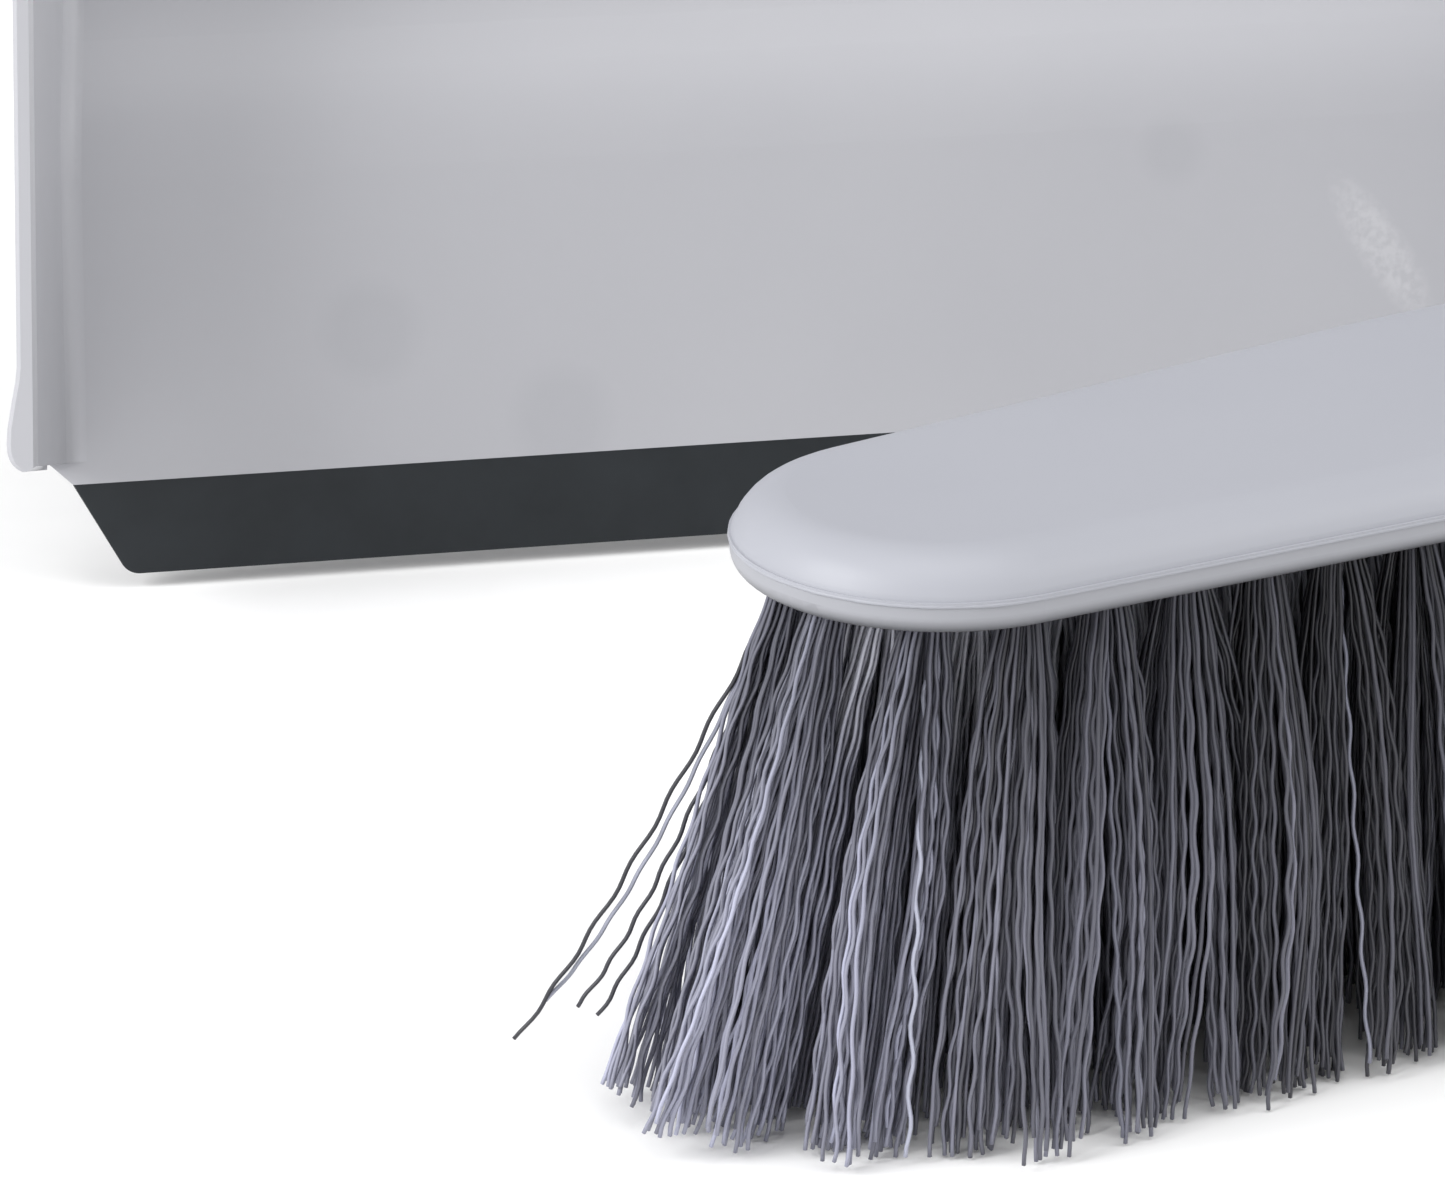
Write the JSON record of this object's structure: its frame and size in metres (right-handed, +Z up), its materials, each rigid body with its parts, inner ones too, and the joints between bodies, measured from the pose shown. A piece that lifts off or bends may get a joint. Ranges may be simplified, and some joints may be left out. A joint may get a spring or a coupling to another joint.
{
  "type": "dust pan and brush set",
  "caption": "Pale plastic dust pan with a dark rubber lip and a handle with a hanging hole, and a hand brush of crimped grey bristles standing in front of it.",
  "frame": {"origin": "centre of the hanging hole in the pan's handle, halfway through the handle", "axes": "+X along the pan's lip, +Y back through the hanging hole toward the wall, +Z up as the pan hangs"},
  "size_m": [0.3368, 0.2449, 0.3135],
  "materials": {
    "pale_plastic": "satin",
    "dark_rubber": "matte",
    "grey_filament": "crimped filaments",
    "anchor_wire": "drawn wire"
  },
  "bodies": {
    "pan": {"pan_body": "pale_plastic", "pan_lip": "dark_rubber"},
    "brush": {"brush_top_shell": "pale_plastic", "brush_tuft_block": "pale_plastic", "tuft_anchors": "anchor_wire", "tuft_row_01": "grey_filament", "tuft_row_02": "grey_filament", "tuft_row_03": "grey_filament", "tuft_row_04": "grey_filament", "tuft_row_05": "grey_filament", "tuft_row_06": "grey_filament", "tuft_row_07": "grey_filament", "tuft_row_08": "grey_filament", "tuft_row_09": "grey_filament", "tuft_row_10": "grey_filament", "tuft_row_11": "grey_filament", "tuft_row_12": "grey_filament", "tuft_row_13": "grey_filament", "tuft_row_14": "grey_filament", "tuft_row_15": "grey_filament", "tuft_row_16": "grey_filament"}
  },
  "joints": [
    {"name": "brush_lift", "type": "slide", "parent": "pan", "child": "brush", "axis": [0, 0, 1], "range_m": [0, 0.15]}
  ]
}
